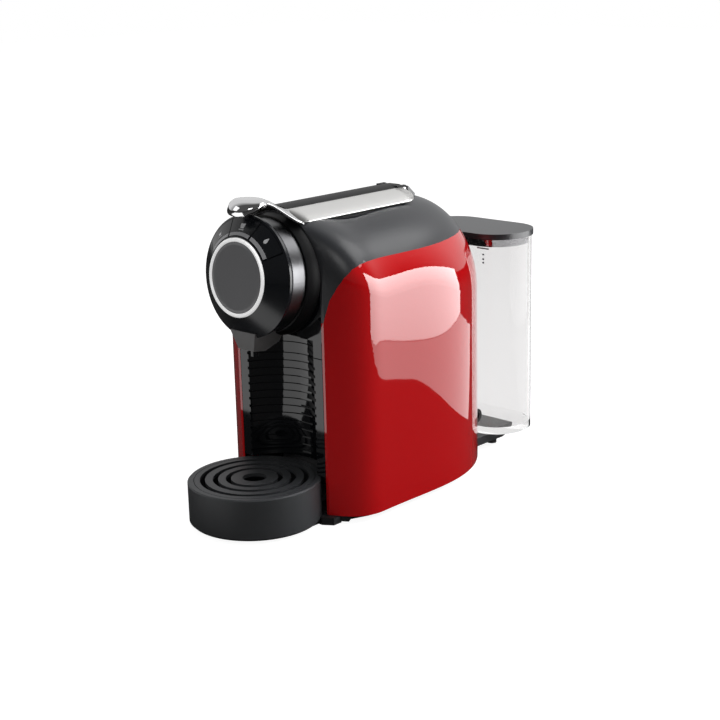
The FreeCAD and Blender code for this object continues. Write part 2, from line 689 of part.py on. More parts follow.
def make_head():
    plate = common("plate", inside, block(
        "plate_room", (-80, 80), (s.front_y, s.front_y + s.plate_thick), (s.plate_bottom, 300)))
    node("front_plate", plate)
    bore = s.neck_radius - s.neck_wall
    neck = on_head(turned("neck_tube", [
        (bore, -8), (s.neck_radius + 1, -8), (s.neck_radius + 1, 6), (s.neck_radius, 8),
        (s.neck_radius, s.neck_length), (bore, s.neck_length),
    ]))
    node("neck_ring", cut("neck", neck, block("behind_front", (-80, 80), (s.front_y, s.front_y + 40), (100, 300))))
    seat = s.face_height - 3.4
    drum = on_head(turned("drum_shell", [
        (bore, s.neck_length), (s.rim_radius - 2, s.neck_length), (s.rim_radius, s.rim_height - 2),
        (s.rim_radius, s.rim_height), (s.face_radius, s.face_height), (s.face_radius, seat), (0, seat),
        (0, seat - 3), (s.ring_inner - 2, seat - 3), (bore, s.neck_length + 2),
    ]))
    deep = s.button_thick + s.button_travel + s.button_gap
    low, high = s.button_inner - s.button_gap, s.button_outer + s.button_gap
    pocket = on_head(turned("button_pocket", [
        (low, bevel_height(low) + 2), (low, bevel_height(low) - deep),
        (high, bevel_height(high) - deep), (high, bevel_height(high) + 2),
    ], s.button_span * 3 + s.button_gap_angle), 90)
    node("dial_drum", cut("drum", drum, pocket))
    for name, turn in (("button_left", 130.0), ("button_middle", 90.0), ("button_right", 50.0)):
        key = on_head(turned(name + "_key", [
            (s.button_inner, bevel_height(s.button_inner)),
            (s.button_inner, bevel_height(s.button_inner) - s.button_thick),
            (s.button_outer, bevel_height(s.button_outer) - s.button_thick),
            (s.button_outer, bevel_height(s.button_outer)),
        ], s.button_span - s.button_gap_angle), turn)
        node(name, key)
    rim = s.face_radius - 0.2
    node("dial_ring", on_head(turned("bright_ring", [
        (s.ring_inner, seat), (rim, seat), (rim, s.face_height + 0.5), (rim - 0.9, s.face_height + s.ring_proud),
        (s.ring_inner + 0.7, s.face_height + s.ring_proud), (s.ring_inner, s.face_height + 0.8),
    ])))
    dish = s.face_height + s.ring_proud - s.disc_dish
    node("dial_disc", on_head(turned("disc", [
        (0, seat), (s.ring_inner - 0.1, seat), (s.ring_inner - 0.1, dish), (s.ring_inner * 0.6, dish - 0.35),
        (0, dish - 0.5),
    ])))
    board = on_head(turned("board", [
        (0, s.board_height), (bore, s.board_height), (bore, s.board_height + s.board_thick),
        (0, s.board_height + s.board_thick),
    ]))
    node("control_board", board)
    switch_foot = s.board_height + s.board_thick
    switches = []
    for turn in (50.0, 90.0, 130.0):
        switch = on_head(turned("switch_key", [
            (s.neck_radius - 10, switch_foot), (s.neck_radius - 5, switch_foot),
            (s.neck_radius - 5, switch_foot + 2.2), (s.neck_radius - 10, switch_foot + 2.2),
        ], 9), turn)
        switches.append(switch)
    node("button_switches", fuse("switches", *switches))


def make_spout():
    side = padded("spout_side", "YZ_Plane", [
        (s.nozzle_y - 12, s.nozzle_bottom + 22), (s.nozzle_y - 9, s.nozzle_bottom + 6.6),
        (s.nozzle_y + 4, s.nozzle_bottom + 4.4), (s.nozzle_y + 18, s.nozzle_bottom + 10),
        (s.nozzle_y + 22, s.nozzle_bottom + 25),
    ], s.spout_half_width * 4)
    front = padded("spout_front", "XZ_Plane", [
        (-s.spout_half_width * 0.55, s.nozzle_bottom), (s.spout_half_width * 0.55, s.nozzle_bottom),
        (s.spout_half_width * 1.3, s.nozzle_bottom + 26), (-s.spout_half_width * 1.3, s.nozzle_bottom + 26),
    ], 400)
    core = on_head(turned("head_core", [
        (0, -8), (s.neck_radius + 1, -8), (s.neck_radius + 1, 6), (s.neck_radius, 8),
        (s.neck_radius, s.neck_length), (s.rim_radius - 2, s.neck_length), (s.rim_radius, s.rim_height - 2),
        (s.rim_radius, s.rim_height), (s.face_radius, s.face_height), (0, s.face_height),
    ]))
    hole = rod("nozzle_hole", s.nozzle_radius, 10, (0, s.nozzle_y, s.nozzle_bottom))
    node("spout", cut("spout_wedge", common("wedge", side, front), core, hole))
    tip = rod("nozzle_tip", s.nozzle_radius, 10, (0, s.nozzle_y, s.nozzle_bottom))
    bore = rod("nozzle_bore", s.nozzle_radius * 0.55, 20, (0, s.nozzle_y, s.nozzle_bottom - 5))
    node("spout_nozzle", cut("nozzle", tip, bore))


# Lever: silver arms with paddle on a black core, turning on a pin

def paddle_sheet():
    """A thin sheet that rises forward from the arms to the paddle's lip."""
    start = s.lever_front.value + 4
    tip = s.paddle_y.value - s.paddle_half_depth.value - 2
    low = 243.6
    high = s.paddle_top.value - s.paddle_thick.value
    lower = []
    for step in range(9):
        part = step / 8
        ease = part * part * (3 - 2 * part)
        lower.append(FreeCAD.Vector(-60, start + (tip - start) * part, low + (high - low) * ease))
    upper = [point + FreeCAD.Vector(0, 0, s.paddle_thick.value) for point in lower]
    edges = []
    for line in (lower, upper):
        curve = Part.BSplineCurve()
        curve.interpolate(line)
        edges.append(curve.toShape())
    edges.append(Part.makeLine(lower[0], upper[0]))
    edges.append(Part.makeLine(lower[-1], upper[-1]))
    face = Part.Face(Part.Wire(Part.__sortEdges__(edges)))
    return free_form("paddle_sheet", face.extrude(FreeCAD.Vector(120, 0, 0)))


def paddle_plan():
    """Plan of paddle and bands: a leaf with two legs."""
    ellipse = Part.Ellipse(FreeCAD.Vector(0, s.paddle_y.value, 200), s.paddle_half_width.value,
                           s.paddle_half_depth.value)
    leaf = Part.Face(Part.Wire(ellipse.toShape())).extrude(FreeCAD.Vector(0, 0, 100))
    plan = leaf
    start = s.lever_front.value + 3.5
    for side in (-1, 1):
        outer = 28.0
        leg = Part.makePolygon([
            FreeCAD.Vector(side * outer, start, 200),
            FreeCAD.Vector(side * (outer - s.band_width.value), start, 200),
            FreeCAD.Vector(side * (s.paddle_half_width.value - s.band_width.value), s.paddle_y.value + 4, 200),
            FreeCAD.Vector(side * (s.paddle_half_width.value - 0.6), s.paddle_y.value + 2, 200),
            FreeCAD.Vector(side * outer, start, 200),
        ])
        plan = plan.fuse(Part.Face(leg).extrude(FreeCAD.Vector(0, 0, 100)))
    return free_form("paddle_plan", plan)


def make_lever():
    clearance = skin_body("lever_clearance", s.lever_gap.value, s.skin_bottom.value, 3.0)
    round_y = s.hinge_y - s.lever_half_width - 1
    crown = rod("crown", s.lever_crown, 200, (0, s.lever_front, s.arch_centre_z), "y")
    inner_crown = rod("inner_crown", s.lever_crown - s.arm_thick, 300, (0, s.lever_front - 50, s.arch_centre_z), "y")
    plan = fuse(
        "lever_plan",
        block("lever_long", (-s.lever_half_width, s.lever_half_width), (s.lever_front, round_y), (220, 270)),
        rod("lever_end", s.lever_half_width, 50, (0, round_y, 220)),
    )
    hull = cut("lever_hull", common("lever_back", crown, plan), clearance)
    right_room = block("arm_room", (s.arm_inner, 60), (s.lever_front - 5, s.hinge_y + 20), (200, 280))
    right_arm = cut("right_arm", common("arm_part", hull, right_room), inner_crown)
    left_arm = mirrored("left_arm", right_arm)
    paddle = cut("paddle_trim", common("paddle", paddle_sheet(), paddle_plan()), clearance)
    node("lever_arms", fuse("arms", right_arm, left_arm, paddle))
    knuckle = rod("knuckle", s.hinge_round, s.arm_inner * 2 - 1, (-s.arm_inner + 0.5, s.hinge_y, s.hinge_z), "x")
    web = block("knuckle_web", (-s.arm_inner + 0.5, s.arm_inner - 0.5), (s.hinge_y - 9, s.hinge_y),
                (s.hinge_z - s.hinge_round, s.hinge_z + s.hinge_round))
    crank = Part.makeBox(
        s.crank_half_width.value * 2, 5, s.crank_length.value + 2.5,
        FreeCAD.Vector(-s.crank_half_width.value, -2.5, -s.crank_length.value - 2.5))
    crank_bar = free_form("crank", crank)
    crank_bar.Placement = FreeCAD.Placement(
        FreeCAD.Vector(0, s.hinge_y.value, s.hinge_z.value),
        FreeCAD.Rotation(FreeCAD.Vector(1, 0, 0), s.crank_angle.value))
    core_crown = rod("core_crown", s.lever_crown - s.arm_thick - s.arm_seat, 200, (0, s.lever_front, s.arch_centre_z), "y")
    spine = block("core_spine", (-s.arm_inner + s.arm_seat, s.arm_inner - s.arm_seat),
                  (s.lever_front, s.hinge_y), (220, 270))
    core_back = common("core_back", hull, fuse("core_form", core_crown, spine))
    solid = fuse("core_solid", core_back, knuckle, web, crank_bar)
    tools = [rod("core_pin_hole", s.pin_radius, 80, (-40, s.hinge_y, s.hinge_z), "x")]
    for side in (-1, 1):
        near = s.lug_inner - s.lug_gap
        far = s.lug_inner + s.lug_thick + s.lug_gap
        span = (near, far) if side > 0 else (-far, -near)
        tools.append(block("lug_room", span, (s.hinge_y - 4.4, s.hinge_y + 20), (220, 270)))
    pin_y, pin_z = crank_pin_place()
    tools.append(rod("core_crank_hole", s.crank_pin, 80, (-40, pin_y, pin_z), "x"))
    tools.append(paddle)
    tools.append(block("core_end", (-60, 60), (s.lever_front - 5, s.lever_front + 0.4), (200, 280)))
    node("lever_core", cut("core", solid, *tools))
    node("lever_pin", rod("pin", s.pin_radius, s.arm_inner * 2 - 1, (-s.arm_inner + 0.5, s.hinge_y, s.hinge_z), "x"))
    node("crank_pin", rod("crank_axle", s.crank_pin, 18, (-9, pin_y, pin_z), "x"))
    start = s.hinge_y + s.hinge_round + s.lug_gap
    cap = block("fairing_block", (-s.arm_inner + 0.5, s.arm_inner - 0.5), (start, start + 9), (230, s.hinge_z + 2))
    fairing = [cut("fairing_foot", cap, outside)]
    for side in (-1, 1):
        near = s.lug_inner if side > 0 else -s.lug_inner - s.lug_thick
        fairing.append(rod("lug_eye", 3.2, s.lug_thick, (near, s.hinge_y, s.hinge_z), "x"))
        fairing.append(block("lug_arm", (near, near + s.lug_thick), (s.hinge_y, start + 1),
                             (s.hinge_z - 2.2, s.hinge_z + 1.6)))
    crank_room = block("crank_room", (-s.crank_half_width - s.lug_gap, s.crank_half_width + s.lug_gap),
                       (s.hinge_y, s.hinge_y + 11), (230, s.hinge_z - 0.5))
    pin_bore = rod("lug_bore", s.pin_radius + s.pin_fit, 80, (-40, s.hinge_y, s.hinge_z), "x")
    node("hinge_fairing", cut("fairing", fuse("fairing_all", *fairing), crank_room, pin_bore))


def crank_pin_place():
    """Where the crank pin stands with the lever shut."""
    angle = math.radians(s.crank_angle.value)
    return (s.hinge_y + s.crank_length * math.sin(angle), s.hinge_z - s.crank_length * math.cos(angle))


# Brewing unit

def make_brewing_unit():
    pin_y, pin_z = crank_pin_place()
    rails = []
    rail_front = s.cup_rear - s.cup_length - 5
    for side in (-1, 1):
        near = s.rail_inner if side > 0 else -s.rail_inner - s.rail_width
        rails.append(block("rail", (near, near + s.rail_width), (rail_front, s.rail_end - 6),
                           (s.rail_bottom, s.rail_bottom + s.rail_height)))
        rails.append(block("post", (near, near + s.rail_width), (pin_y - 7.5, pin_y + 7.5),
                           (s.rail_bottom + s.rail_height - 1, 212)))
        plate_near = 4.0 if side > 0 else -8.0
        rails.append(block("yoke_plate", (plate_near, plate_near + 4), (pin_y - 7.5, pin_y + 7.5), (215, 237.6)))
    reach = s.rail_inner + s.rail_width
    rails.append(block("yoke_bar", (-reach, reach), (pin_y - 7.5, pin_y + 7.5), (s.block_top + 1.5, 216)))
    rails.append(block("cup_plate", (-s.rail_inner - 1, s.rail_inner + 1), (rail_front, rail_front + 5),
                       (s.brew_z - 22, s.rail_bottom + s.rail_height)))
    slot = block("yoke_slot", (-20, 20), (pin_y - s.crank_pin - s.crank_play, pin_y + s.crank_pin + s.crank_play),
                 (pin_z - 4.2 - s.crank_pin - 1, pin_z + s.crank_pin + 1))
    node("carriage", cut("carriage_all", fuse("carriage_solid", *rails), slot))
    cup = rod("cup_outer", s.cup_radius, s.cup_length, (0, s.cup_rear - s.cup_length, s.brew_z), "y")
    bore = rod("cup_room", s.cup_bore, s.cup_length, (0, s.cup_rear - s.cup_length + 4, s.brew_z), "y")
    drain = rod("cup_drain", 2.0, 20, (0, s.cup_rear - s.cup_length + 6, s.brew_z - s.cup_radius - 1))
    node("brew_cup", cut("cup", cup, bore, drain))
    heater = block("heater", (-s.block_half_width, s.block_half_width), (s.block_front, s.block_rear),
                   (s.shelf_top, s.block_top))
    fins = []
    for index in range(5):
        level = s.shelf_top + 10 + 9 * index
        for side in (-1, 1):
            x_near = s.block_half_width - 5 if side > 0 else -s.block_half_width - 1
            fins.append(block("fin_slot", (x_near, x_near + 6), (s.block_front + 26, s.block_rear + 1), (level, level + 4)))
    node("thermoblock", cut("heater_block", heater, *fins))
    node("injector_plate", rod("injector", 20, s.injector_thick, (0, s.block_front - s.injector_thick, s.brew_z), "y"))
    seal = rod("seal_outer", 18.4, 3.0, (0, s.block_front - s.injector_thick - 3, s.brew_z), "y")
    seal_bore = rod("seal_bore", 14, 10, (0, s.block_front - s.injector_thick - 6, s.brew_z), "y")
    node("injector_seal", cut("seal", seal, seal_bore))
    node("thermostat", rod("sensor", 7, 5, (s.block_half_width, s.block_front + 13, s.brew_z), "x"))
    outer = block("chute_outer", (-s.chute_half_width - 1.6, s.chute_half_width + 1.6),
                  (s.chute_front - 1.6, s.chute_rear + 1.6), (s.block_top + 1, 300))
    room = block("chute_room", (-s.chute_half_width, s.chute_half_width), (s.chute_front, s.chute_rear), (190, 310))
    node("capsule_chute", common("chute", inside, cut("chute_tube", outer, room)))
    plates = []
    for side in (-1, 1):
        near = s.frame_plate if side > 0 else -s.frame_plate - s.frame_thick
        plates.append(block("frame_wall", (near, near + s.frame_thick), (s.frame_front, s.frame_rear - 8),
                            (s.base_top, s.frame_top - 6)))
        ledge = (s.rail_inner + 2, s.frame_plate + 1) if side > 0 else (-s.frame_plate - 1, -s.rail_inner - 2)
        plates.append(block("ledge", ledge, (s.frame_front + 8, s.frame_rear - 8),
                            (s.rail_bottom - 6, s.rail_bottom - 0.4)))
    plates.append(block("shelf", (-s.frame_plate - 1, s.frame_plate + 1), (s.block_front - 3, s.frame_rear - 8),
                        (s.shelf_top - 4, s.shelf_top)))
    node("inner_frame", fuse("frame", *plates))


# Pump side

def make_pump_side():
    pump = rod("pump_can", s.pump_radius, s.pump_length, (s.pump_x, s.pump_front, s.pump_z), "y")
    node("pump", pump)
    foot = block("cradle_block", (s.pump_x - 14, s.pump_x + 14), (s.pump_front + 8, s.pump_front + s.pump_length - 8),
                 (s.base_top, s.pump_z - 8))
    hollow = rod("cradle_hollow", s.pump_radius, 200, (s.pump_x, s.pump_front - 50, s.pump_z), "y")
    node("pump_cradle", cut("cradle", foot, hollow))
    meter = rod("meter", s.meter_radius, s.meter_height, (s.meter_x, s.meter_y, s.base_top))
    node("flow_meter", meter)
    link = hose("link", [
        (s.meter_x, s.meter_y, s.base_top + s.meter_height),
        (s.meter_x, s.meter_y, s.hose_crest),
        (s.pump_x, s.pump_front + 24, s.hose_crest),
        (s.pump_x, s.pump_front + 24, s.pump_z + s.pump_radius - 2),
    ], s.hose_radius, s.hose_bend)
    node("link_hose", cut("link_trim", link, pump))
    inlet = hose("inlet", [
        (0, s.rear_y - s.stub_length, s.stub_z),
        (0, s.meter_y + 28, s.stub_z),
        (s.meter_x, s.meter_y + 28, s.stub_z),
        (s.meter_x, s.meter_y + s.meter_radius - 2, s.stub_z),
    ], s.hose_radius, s.hose_bend)
    node("inlet_hose", cut("inlet_trim", inlet, meter))
    riser_y = s.pump_front + s.pump_length + 12
    node("pressure_hose", hose("pressure", [
        (s.pump_x, s.pump_front + s.pump_length, s.pump_z),
        (s.pump_x, riser_y, s.pump_z),
        (s.pump_x, riser_y, s.brew_z - 3),
        (s.pump_x, s.block_rear, s.brew_z - 3),
    ], s.hose_radius, s.hose_bend))


# Tank, dock and rear panel

def make_tank():
    wide = (-s.tank_half_width, s.tank_half_width)
    deep = (s.tank_front, s.tank_rear)
    outer = rounded_block("tank_outer", wide, deep, (s.tank_bottom, s.tank_top), s.tank_round)
    wall = s.tank_wall
    room = rounded_block(
        "tank_room", (wide[0] + wall, wide[1] - wall), (deep[0] + wall, deep[1] - wall),
        (s.tank_bottom + s.tank_floor, s.tank_top + 5), s.tank_round - wall)
    valve_hole = rod("valve_hole", s.valve_radius, 40, (0, s.valve_y, s.tank_bottom - 10))
    node("water_tank", cut("tank", outer, room, valve_hole))
    node("tank_valve", rod("valve", s.valve_radius, s.valve_depth + s.tank_floor + 6,
                           (0, s.valve_y, s.tank_bottom - s.valve_depth)))
    over = s.lid_over
    lid_bottom = s.tank_top + s.lid_gap
    plate = rounded_block(
        "lid_plate", (wide[0] - over, wide[1] + over), (deep[0] - over, deep[1] + over),
        (lid_bottom, lid_bottom + s.lid_thick), s.tank_round + over)
    node("tank_lid", plate)
    inset = wall + s.lid_gap
    band = rounded_block(
        "band_outer", (wide[0] + inset, wide[1] - inset), (deep[0] + inset, deep[1] - inset),
        (lid_bottom - s.band_height, lid_bottom), s.tank_round - inset)
    hollow = rounded_block(
        "band_room", (wide[0] + inset + 3, wide[1] - inset - 3), (deep[0] + inset + 3, deep[1] - inset - 3),
        (lid_bottom - s.band_height - 5, lid_bottom), s.tank_round - inset - 3)
    node("lid_rim_band", cut("band", band, hollow))


def make_rear():
    dock = padded("dock_wedge", "YZ_Plane", [
        (s.rear_y, s.dock_bottom), (s.dock_rear - 14, s.dock_bottom), (s.dock_rear, s.dock_bottom + 4),
        (s.dock_rear, s.dock_top), (s.rear_y, s.dock_top),
    ], s.dock_half_width * 2)
    socket = rod("socket", s.valve_radius + 0.6, 20, (0, s.valve_y, s.tank_bottom - s.valve_depth - 0.6))
    stub = rod("stub", 3.2, 14, (0, s.rear_y - s.stub_length, s.stub_z), "y")
    node("tank_dock", fuse("dock", cut("dock_cut", dock, socket), stub))
    sheet_room = block("rear_room", (-80, 80), (s.rear_y - 3.5, s.rear_y), (s.base_top, 300))
    sheet_part = common("rear_sheet", inside, sheet_room)
    stub_hole = rod("stub_hole", 3.2, 14, (0, s.rear_y - s.stub_length, s.stub_z), "y")
    gland_hole = rod("gland_hole", s.gland_radius, 20, (s.gland_x, s.rear_y - 10, s.gland_z), "y")
    rocker_hole = block("rocker_hole", (-28.6, -15.4), (s.rear_y - 10, s.rear_y + 5), (50.2, 69.8))
    node("rear_panel", cut("panel_cut", sheet_part, stub_hole, gland_hole, rocker_hole))
    cord_y = s.rear_y + s.cord_out
    gland = fuse(
        "gland_all",
        rod("gland_body", s.gland_radius, s.cord_out + 5, (s.gland_x, s.rear_y - 5, s.gland_z), "y"),
        rod("gland_collar", s.gland_collar, 3, (s.gland_x, s.rear_y, s.gland_z), "y"),
        rod("gland_sleeve", s.sleeve_radius, s.sleeve_radius + s.sleeve_reach,
            (s.gland_x - s.sleeve_radius, cord_y, s.gland_z), "x"),
    )
    inner_bore = rod("gland_bore", s.core_bore, s.cord_out + 15, (s.gland_x, s.rear_y - 15, s.gland_z), "y")
    outer_bore = rod("sleeve_bore", s.cord_bore, s.sleeve_reach + 10, (s.gland_x, cord_y, s.gland_z), "x")
    node("cord_gland", cut("gland", gland, inner_bore, outer_bore))
    housing = block("housing_box", (-31, -13), (s.rear_y - 16, s.rear_y - 3.5), (47, 73))
    housing_room = block("housing_room", (-28.6, -15.4), (s.rear_y - 13, s.rear_y + 5), (50.2, 69.8))
    node("switch_housing", cut("housing", housing, housing_room))
    rocker = padded("rocker_key", "YZ_Plane", [
        (s.rear_y - 4, 51), (s.rear_y + 1.6, 51), (s.rear_y + 0.6, 60), (s.rear_y + 1.6, 69), (s.rear_y - 4, 69),
    ], 12)
    place(rocker, -22, 0, 0)
    node("power_rocker", rocker)


make_shells_and_cover()
make_base()
make_drawer()
make_grille()
make_niche()
make_head()
make_spout()
make_lever()
make_brewing_unit()
make_pump_side()
make_tank()
make_rear()
doc.recompute()

for thing in doc.Objects:
    if "Invalid" in thing.State or "Error" in thing.State:
        raise RuntimeError("%s is %s" % (thing.Name, thing.State))
os.makedirs("parts", exist_ok=True)
for label, thing in nodes:
    shape = thing.Shape
    if shape.isNull() or not shape.isValid():
        raise RuntimeError("%s has no valid shape" % label)
    shape.exportStep("parts/%s.step" % label)
    box = shape.BoundBox
    print("%-18s solids %d volume %9.0f  x %6.1f %6.1f  y %6.1f %6.1f  z %6.1f %6.1f" % (
        label, len(shape.Solids), shape.Volume, box.XMin, box.XMax, box.YMin, box.YMax, box.ZMin, box.ZMax))
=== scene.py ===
"""Pod coffee machine: finishes, small marks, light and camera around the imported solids.

Metres, +Z up.  The dial looks along -Y and the water tank stands at +Y.
"""
import math

import bmesh
import bpy
from mathutils import Matrix, Vector


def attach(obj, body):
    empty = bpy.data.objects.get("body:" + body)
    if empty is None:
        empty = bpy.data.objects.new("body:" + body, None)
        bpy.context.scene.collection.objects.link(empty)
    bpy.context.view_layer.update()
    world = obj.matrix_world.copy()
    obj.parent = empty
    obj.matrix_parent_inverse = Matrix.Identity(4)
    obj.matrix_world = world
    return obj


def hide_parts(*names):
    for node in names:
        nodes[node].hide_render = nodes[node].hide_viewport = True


MM = 0.001

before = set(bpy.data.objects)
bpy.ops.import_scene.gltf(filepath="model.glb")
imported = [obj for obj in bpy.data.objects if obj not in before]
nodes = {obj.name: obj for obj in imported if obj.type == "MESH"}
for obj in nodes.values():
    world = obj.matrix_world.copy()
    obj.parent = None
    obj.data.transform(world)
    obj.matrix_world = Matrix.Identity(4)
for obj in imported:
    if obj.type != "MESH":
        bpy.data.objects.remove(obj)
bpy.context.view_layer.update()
scene = bpy.context.scene
scene.view_settings.view_transform = "Standard"


# Node helpers

DRIFT_SCALE = 14.0
STREAK_SCALE = 60.0
GRAIN_DEPTH = 0.2 * MM


def bare_material(name):
    """A material with nothing but its output node."""
    material = bpy.data.materials.new(name)
    material.use_nodes = True
    tree = material.node_tree
    tree.nodes.clear()
    return material, tree, tree.nodes.new("ShaderNodeOutputMaterial")


def new_material(name):
    """A material with a Principled BSDF wired to its output."""
    material, tree, output = bare_material(name)
    shader = tree.nodes.new("ShaderNodeBsdfPrincipled")
    tree.links.new(shader.outputs["BSDF"], output.inputs["Surface"])
    return material, tree, shader


def feed(tree, socket, value):
    """Give a socket a plain number or the output of another node."""
    if isinstance(value, float):
        socket.default_value = value
    else:
        tree.links.new(value, socket)


def add_math(tree, operation, *values, clamp=False):
    """A maths node whose values are outputs or plain numbers."""
    maths = tree.nodes.new("ShaderNodeMath")
    maths.operation = operation
    maths.use_clamp = clamp
    for socket, value in zip(maths.inputs, values):
        feed(tree, socket, value)
    return maths.outputs[0]


def object_coordinates(tree):
    return tree.nodes.new("ShaderNodeTexCoord").outputs["Object"]


def add_noise(tree, scale, detail=2.0, stretch=None):
    """Noise over the piece, stretched along an axis where a direction is given."""
    noise = tree.nodes.new("ShaderNodeTexNoise")
    feed(tree, noise.inputs["Scale"], scale)
    noise.inputs["Detail"].default_value = detail
    source = object_coordinates(tree)
    if stretch:
        mapping = tree.nodes.new("ShaderNodeMapping")
        mapping.inputs["Scale"].default_value = stretch
        tree.links.new(source, mapping.inputs["Vector"])
        source = mapping.outputs["Vector"]
    tree.links.new(source, noise.inputs["Vector"])
    return noise.outputs["Fac"]


def add_range(tree, value, low, high, start=0.0, end=1.0):
    """Spread a value that runs from start to end over a new range."""
    spread = tree.nodes.new("ShaderNodeMapRange")
    spread.inputs["From Min"].default_value = start
    spread.inputs["From Max"].default_value = end
    spread.inputs["To Min"].default_value = low
    spread.inputs["To Max"].default_value = high
    tree.links.new(value, spread.inputs["Value"])
    return spread.outputs["Result"]


def add_bump(tree, shader, height, strength, distance):
    bump = tree.nodes.new("ShaderNodeBump")
    bump.inputs["Strength"].default_value = strength
    bump.inputs["Distance"].default_value = distance
    tree.links.new(height, bump.inputs["Height"])
    tree.links.new(bump.outputs["Normal"], shader.inputs["Normal"])


def make_moulding_group():
    """Colour and roughness of moulded plastic: a slow drift and a fine speckle."""
    group = bpy.data.node_groups.new("moulded_plastic", "ShaderNodeTree")
    sockets = group.interface
    sockets.new_socket("Colour", in_out="INPUT", socket_type="NodeSocketColor")
    for name in ("Drift", "Roughness", "Speckle size"):
        sockets.new_socket(name, in_out="INPUT", socket_type="NodeSocketFloat")
    sockets.new_socket("Colour", in_out="OUTPUT", socket_type="NodeSocketColor")
    for name in ("Roughness", "Grain"):
        sockets.new_socket(name, in_out="OUTPUT", socket_type="NodeSocketFloat")
    inlet = group.nodes.new("NodeGroupInput").outputs
    outlet = group.nodes.new("NodeGroupOutput").inputs
    slow = add_noise(group, DRIFT_SCALE, 3.0)
    fine = add_noise(group, inlet["Speckle size"])
    centred = add_math(group, "SUBTRACT", slow, 0.5)
    shift = add_math(group, "MULTIPLY_ADD", centred, inlet["Drift"], 1.0)
    tint = group.nodes.new("ShaderNodeVectorMath")
    tint.operation = "SCALE"
    group.links.new(inlet["Colour"], tint.inputs[0])
    group.links.new(shift, tint.inputs["Scale"])
    group.links.new(tint.outputs[0], outlet["Colour"])
    group.links.new(add_math(group, "MULTIPLY", inlet["Roughness"], shift), outlet["Roughness"])
    group.links.new(fine, outlet["Grain"])
    return group


moulding = make_moulding_group()


def moulded(name, colour, roughness, drift=0.06, speckle=900.0, grain=0.0):
    """Moulded plastic, smooth or with a fine grain."""
    material, tree, shader = new_material(name)
    group = tree.nodes.new("ShaderNodeGroup")
    group.node_tree = moulding
    group.inputs["Colour"].default_value = (*colour, 1.0)
    group.inputs["Drift"].default_value = drift
    group.inputs["Roughness"].default_value = roughness
    group.inputs["Speckle size"].default_value = speckle
    tree.links.new(group.outputs["Colour"], shader.inputs["Base Color"])
    tree.links.new(group.outputs["Roughness"], shader.inputs["Roughness"])
    if grain:
        add_bump(tree, shader, group.outputs["Grain"], grain, GRAIN_DEPTH)
    return material, shader


def brushed(name, colour, roughness, stretch, streak=0.12):
    """Metal with fine streaks along one direction."""
    material, tree, shader = new_material(name)
    shader.inputs["Base Color"].default_value = (*colour, 1.0)
    shader.inputs["Metallic"].default_value = 1.0
    streaks = add_noise(tree, STREAK_SCALE, 4.0, stretch)
    spread = add_range(tree, streaks, roughness - streak, roughness + streak)
    tree.links.new(spread, shader.inputs["Roughness"])
    return material, shader


# Finishes

def red_gloss():
    material, shader = moulded("red_gloss", (0.52, 0.004, 0.006), 0.035, drift=0.05)
    shader.inputs["Coat Weight"].default_value = 0.6
    shader.inputs["Coat Roughness"].default_value = 0.02
    return material


def satin_dark():
    material, shader = moulded("satin_dark", (0.022, 0.023, 0.026), 0.34, speckle=1500.0, grain=0.08)
    shader.inputs["Specular IOR Level"].default_value = 0.6
    return material


def gloss_black():
    material, shader = moulded("gloss_black", (0.004, 0.0045, 0.0055), 0.06)
    shader.inputs["Specular IOR Level"].default_value = 0.6
    return material


def drum_black():
    return moulded("drum_black", (0.006, 0.007, 0.009), 0.2, speckle=1800.0, grain=0.04)[0]


def neck_satin():
    return brushed("neck_satin", (0.14, 0.14, 0.145), 0.3, (1.0, 30.0, 1.0), 0.06)[0]


def pearl_ring_painted_glow():
    material, shader = moulded("pearl_ring_painted_glow", (0.9, 0.9, 0.9), 0.25, drift=0.03)
    # The emission is a painted glow. It makes the ring read white where its lighting leaves it dark,
    # although the ring is no lamp.
    shader.inputs["Emission Color"].default_value = (1.0, 1.0, 1.0, 1.0)
    shader.inputs["Emission Strength"].default_value = 0.35
    return material


def core_black():
    material, shader = moulded("core_black", (0.004, 0.004, 0.0045), 0.45, speckle=1500.0, grain=0.05)
    shader.inputs["Specular IOR Level"].default_value = 0.15
    return material


def spoon_chrome():
    return brushed("spoon_chrome", (0.8, 0.8, 0.81), 0.08, (1.0, 1.0, 1.0), 0.03)[0]


def dark_chrome():
    return brushed("dark_chrome", (0.4, 0.4, 0.41), 0.1, (1.0, 1.0, 1.0), 0.03)[0]


def satin_silver():
    return brushed("satin_silver", (0.86, 0.855, 0.84), 0.34, (30.0, 1.0, 1.0), 0.06)[0]


def disc_satin():
    return moulded("disc_satin", (0.15, 0.15, 0.155), 0.32, speckle=2500.0, grain=0.05)[0]


def tray_matt():
    return moulded("tray_matt", (0.032, 0.034, 0.037), 0.5, speckle=1600.0, grain=0.12)[0]


def spout_grey():
    return moulded("spout_grey", (0.09, 0.087, 0.087), 0.42, speckle=1600.0, grain=0.06)[0]


def base_matt():
    return moulded("base_matt", (0.012, 0.012, 0.013), 0.55, speckle=1500.0, grain=0.12)[0]


def inner_matt():
    return moulded("inner_matt", (0.05, 0.05, 0.052), 0.5, speckle=1200.0, grain=0.1)[0]


def foot_rubber():
    return moulded("foot_rubber", (0.015, 0.015, 0.015), 0.75, speckle=900.0, grain=0.2)[0]


def hose_silicone():
    return moulded("hose_silicone", (0.6, 0.6, 0.57), 0.45, speckle=700.0, grain=0.05)[0]


def board_lacquer():
    return moulded("board_lacquer", (0.02, 0.13, 0.05), 0.25, drift=0.2)[0]


def plain_steel():
    return brushed("plain_steel", (0.55, 0.55, 0.57), 0.3, (1.0, 20.0, 1.0), 0.1)[0]


